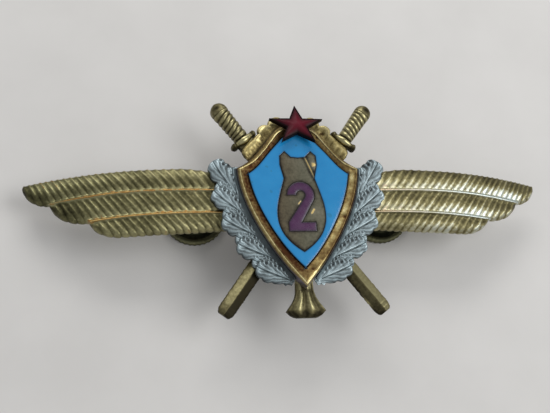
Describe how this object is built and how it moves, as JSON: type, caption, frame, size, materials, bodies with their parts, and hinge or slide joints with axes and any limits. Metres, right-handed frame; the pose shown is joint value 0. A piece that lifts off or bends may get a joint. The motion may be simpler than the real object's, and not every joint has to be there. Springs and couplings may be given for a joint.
{
  "type": "pilot wings pin",
  "caption": "Winged enamel badge with feathered wings, shield, star, crossed swords and oak branches, fastened through cloth by threaded studs and screw nuts.",
  "frame": {"origin": "midway between the two studs, on the flat back of the wing plate", "axes": "+X along the wings to the viewer's right, +Y towards the star, +Z out of the face"},
  "size_m": [0.075, 0.0311, 0.0109],
  "materials": {
    "gilt": "aged gilt with dark recesses",
    "silvered": "worn silver plate with dark patina",
    "blue_enamel": "glossy opaque enamel",
    "maroon_enamel": "glossy opaque enamel",
    "ruby_enamel": "glossy translucent enamel over metal",
    "dark_brass": "dull tarnished",
    "copper": "tarnished"
  },
  "bodies": {
    "badge": {"wing_plate": "gilt", "left_sword": "gilt", "right_sword": "gilt", "scroll_plate": "gilt", "left_oak_branch": "silvered", "right_oak_branch": "silvered", "ribbon_bow": "gilt", "shield": "gilt", "shield_enamel": "blue_enamel", "numeral_enamel": "maroon_enamel", "star": "gilt", "star_enamel": "ruby_enamel", "upper_rivet": "copper", "lower_rivet": "copper", "left_stud": "dark_brass", "right_stud": "dark_brass"},
    "left_bush": {"left_nut_bush": "dark_brass"},
    "left_nut": {"left_nut_disc": "dark_brass"},
    "right_bush": {"right_nut_bush": "dark_brass"},
    "right_nut": {"right_nut_disc": "dark_brass"}
  },
  "joints": [
    {"name": "left_nut_travel", "type": "slide", "parent": "badge", "child": "left_bush", "axis": [0, 0, 1], "range_m": [-0.0009, 0.0028]},
    {"name": "left_nut_turn", "type": "hinge", "parent": "left_bush", "child": "left_nut", "pos_m": [-0.0137, 0, 0], "axis": [0, 0, 1], "range_deg": [-721, 2241]},
    {"name": "right_nut_travel", "type": "slide", "parent": "badge", "child": "right_bush", "axis": [0, 0, 1], "range_m": [-0.0009, 0.0028]},
    {"name": "right_nut_turn", "type": "hinge", "parent": "right_bush", "child": "right_nut", "pos_m": [0.0137, 0, 0], "axis": [0, 0, 1], "range_deg": [-721, 2241]}
  ],
  "couplings": [
    {"joint": "left_nut_turn", "follows": "left_nut_travel", "rad_per_m": 13963},
    {"joint": "right_nut_turn", "follows": "right_nut_travel", "rad_per_m": 13963}
  ]
}
